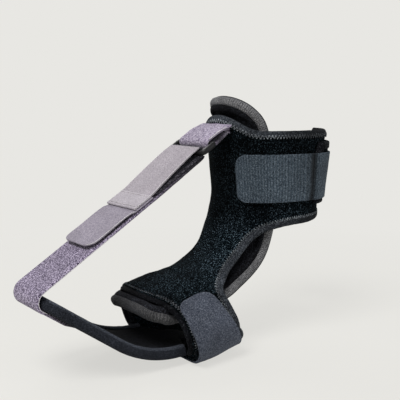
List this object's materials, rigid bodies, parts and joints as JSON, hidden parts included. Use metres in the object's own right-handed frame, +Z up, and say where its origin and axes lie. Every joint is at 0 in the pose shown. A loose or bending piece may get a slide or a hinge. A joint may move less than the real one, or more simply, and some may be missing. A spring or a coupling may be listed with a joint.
{
  "type": "ankle foot orthosis",
  "caption": "Dorsal ankle foot orthosis: a padded wrap over shin and instep with calf and foot straps, a padded toe plate, and a traction strap from the plate's tip to the shin.",
  "frame": {"origin": "middle of the wearer's ankle flexion axis", "axes": "+X towards the toes, +Y towards the medial side of a right foot, +Z up the shin"},
  "size_m": [0.252, 0.099, 0.1858],
  "materials": {
    "cover": "brushed loop pile, near black",
    "lining": "flat knit",
    "shell": "moulded, matte",
    "liner": "flat knit over foam",
    "terry": "terry loops",
    "knit_edge": "ribbed knit edge",
    "tape": "stitched edge tape",
    "grey_webbing": "fine ribs, a little sheen",
    "hook": "hook tape",
    "board": "rolled, satin",
    "plate_pad": "knit over foam",
    "loop_webbing": "loop pile with dark flecks",
    "return_webbing": "smooth woven",
    "hook_webbing": "woven with a sewn edge",
    "ring_plastic": "moulded, satin"
  },
  "bodies": {
    "wrap": {"outer_cover": "cover", "inner_lining": "lining", "dorsal_shell": "shell", "liner_pad": "liner", "liner_lining": "terry", "liner_edge": "knit_edge", "top_binding": "tape", "heel_binding_medial": "tape", "heel_binding_lateral": "tape", "instep_binding": "tape", "anchor_patch": "loop_webbing", "foot_strap": "grey_webbing", "sole_board": "board", "sole_pad": "plate_pad", "sole_base": "lining"},
    "toe_plate": {"toe_board": "board", "toe_pad": "plate_pad", "toe_base": "lining", "toe_binding": "tape", "strap_toe_end": "loop_webbing"},
    "strap_run": {"strap_run": "loop_webbing"},
    "anchor_loop": {"anchor_loop": "loop_webbing"},
    "ring": {"ring": "ring_plastic"},
    "strap_fold": {"strap_fold": "loop_webbing"},
    "strap_return": {"strap_return": "return_webbing", "tab_root": "hook_webbing"},
    "hook_tab": {"hook_tab": "hook_webbing", "hook_tab_patch": "hook"},
    "calf_wing": {"calf_wing": "cover", "calf_wing_lining": "lining", "calf_wing_binding": "tape", "calf_strap": "grey_webbing"},
    "calf_tab": {"calf_tab": "grey_webbing", "calf_hook_patch": "hook"},
    "foot_tab": {"foot_tab": "grey_webbing", "foot_hook_patch": "hook"}
  },
  "joints": [
    {"name": "toe_plate_flex", "type": "hinge", "parent": "wrap", "child": "toe_plate", "pos_m": [0.109, 0, -0.06645], "axis": [0, -1, 0], "range_deg": [-15, 15]},
    {"name": "strap_run_swing", "type": "hinge", "parent": "toe_plate", "child": "strap_run", "pos_m": [0.19274, 0, -0.01519], "axis": [0, -1, 0], "range_deg": [-11.5, 11.5]},
    {"name": "anchor_swing", "type": "hinge", "parent": "wrap", "child": "anchor_loop", "pos_m": [0.0455, 0, 0.0935], "axis": [0, -1, 0], "range_deg": [-4, 4]},
    {"name": "ring_tilt", "type": "hinge", "parent": "anchor_loop", "child": "ring", "pos_m": [0.0641, 0, 0.08029], "axis": [0, -1, 0], "range_deg": [0, 12]},
    {"name": "strap_fold_swing", "type": "hinge", "parent": "ring", "child": "strap_fold", "pos_m": [0.07366, 0, 0.07445], "axis": [0, -1, 0], "range_deg": [0, 12]},
    {"name": "strap_return_lift", "type": "hinge", "parent": "strap_fold", "child": "strap_return", "pos_m": [0.07903, 0, 0.07585], "axis": [0, -1, 0], "range_deg": [0, 60]},
    {"name": "hook_tab_lift", "type": "hinge", "parent": "strap_return", "child": "hook_tab", "pos_m": [0.12862, 0, 0.03782], "axis": [0, -1, 0], "range_deg": [0, 45]},
    {"name": "calf_wing_open", "type": "hinge", "parent": "wrap", "child": "calf_wing", "pos_m": [-0.02251, -0.03868, 0.05718], "axis": [-0.0774, -0.0375, 0.9963], "range_deg": [0, 80]},
    {"name": "calf_tab_peel", "type": "hinge", "parent": "calf_wing", "child": "calf_tab", "pos_m": [-0.01135, 0.04655, 0.05404], "axis": [-0.0277, 0.0413, 0.9988], "range_deg": [0, 120]},
    {"name": "foot_tab_peel", "type": "hinge", "parent": "wrap", "child": "foot_tab", "pos_m": [0.08162, 0.04975, -0.05024], "axis": [-0.9753, -0.0774, 0.2071], "range_deg": [0, 120]}
  ],
  "couplings": [
    {"joint": "strap_run_swing", "follows": "toe_plate_flex", "ratio": -0.7555},
    {"joint": "anchor_swing", "follows": "toe_plate_flex", "ratio": 0.2445},
    {"joint": "calf_tab_peel", "follows": "calf_wing_open", "ratio": 1.5}
  ]
}
